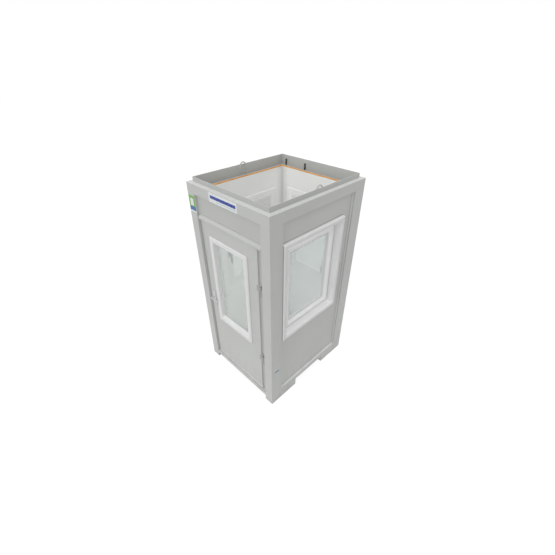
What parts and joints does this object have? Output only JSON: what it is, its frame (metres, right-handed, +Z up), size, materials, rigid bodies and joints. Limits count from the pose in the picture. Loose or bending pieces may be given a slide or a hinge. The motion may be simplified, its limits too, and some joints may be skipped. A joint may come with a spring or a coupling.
{
  "type": "security guard booth",
  "caption": "Small steel-framed guard cabin with insulated walls, large white windows, a hinged glazed door, a raised base for forks and an open roof ring with lifting eyes",
  "frame": {"origin": "on the ground at the middle of the footprint over the corner posts", "axes": "+Z up, -Y the door face, +X the face with the offset window"},
  "size_m": [1.258, 1.454, 2.6199],
  "materials": {
    "painted_steel": "satin light grey paint",
    "panel_paint": "satin light grey paint",
    "white_lining": "matt white coated board",
    "wall_head_timber": "sawn orange pine",
    "floor_board": "plain floor board",
    "floor_covering": "dark grey sheet covering",
    "white_upvc": "white window plastic",
    "clear_glass": "clear glazing",
    "handle_metal": "brushed metal",
    "plain_aluminium": "plain aluminium",
    "conduit_plastic": "dark plastic pipe"
  },
  "bodies": {
    "cabin": {"post_front_left": "painted_steel", "post_front_right": "painted_steel", "post_back_left": "painted_steel", "post_back_right": "painted_steel", "roof_beam_front": "painted_steel", "roof_beam_back": "painted_steel", "roof_beam_left": "painted_steel", "roof_beam_right": "painted_steel", "base_rail_front": "painted_steel", "base_rail_back": "painted_steel", "base_rail_left": "painted_steel", "base_rail_right": "painted_steel", "wall_cap": "painted_steel", "floor_joists": "painted_steel", "door_frame": "painted_steel", "door_stop": "painted_steel", "drip_cap": "painted_steel", "lifting_eyes": "painted_steel", "hinge_frame_halves": "painted_steel", "right_wall_panel": "panel_paint", "left_wall_panel": "panel_paint", "back_wall_panel": "panel_paint", "header_panel": "panel_paint", "right_lining": "white_lining", "left_lining": "white_lining", "back_lining": "white_lining", "front_lining": "white_lining", "wall_head": "wall_head_timber", "floor_deck": "floor_board", "floor_covering": "floor_covering", "right_window_frame": "white_upvc", "left_window_frame": "white_upvc", "back_window_frame": "white_upvc", "right_window_sash": "white_upvc", "left_window_sash": "white_upvc", "back_window_sash": "white_upvc", "window_glass": "clear_glass", "window_handles": "handle_metal", "threshold": "plain_aluminium", "glazing_spacers": "plain_aluminium", "cable_conduits": "conduit_plastic"},
    "door": {"door_leaf": "panel_paint", "door_window_frame": "white_upvc", "door_glass": "clear_glass", "door_handle_plates": "handle_metal", "hinge_leaf_halves": "painted_steel"},
    "lever": {"door_lever": "handle_metal"}
  },
  "joints": [
    {"name": "door_hinge", "type": "hinge", "parent": "cabin", "child": "door", "pos_m": [0.47, -0.7005, 1.2], "axis": [0, 0, 1], "range_deg": [0, 115]},
    {"name": "lever_turn", "type": "hinge", "parent": "door", "child": "lever", "pos_m": [-0.409, -0.6785, 1.15], "axis": [0, 1, 0], "range_deg": [0, 40], "stiffness_Nm_per_rad": 1.5, "springref_deg": -28.65}
  ]
}
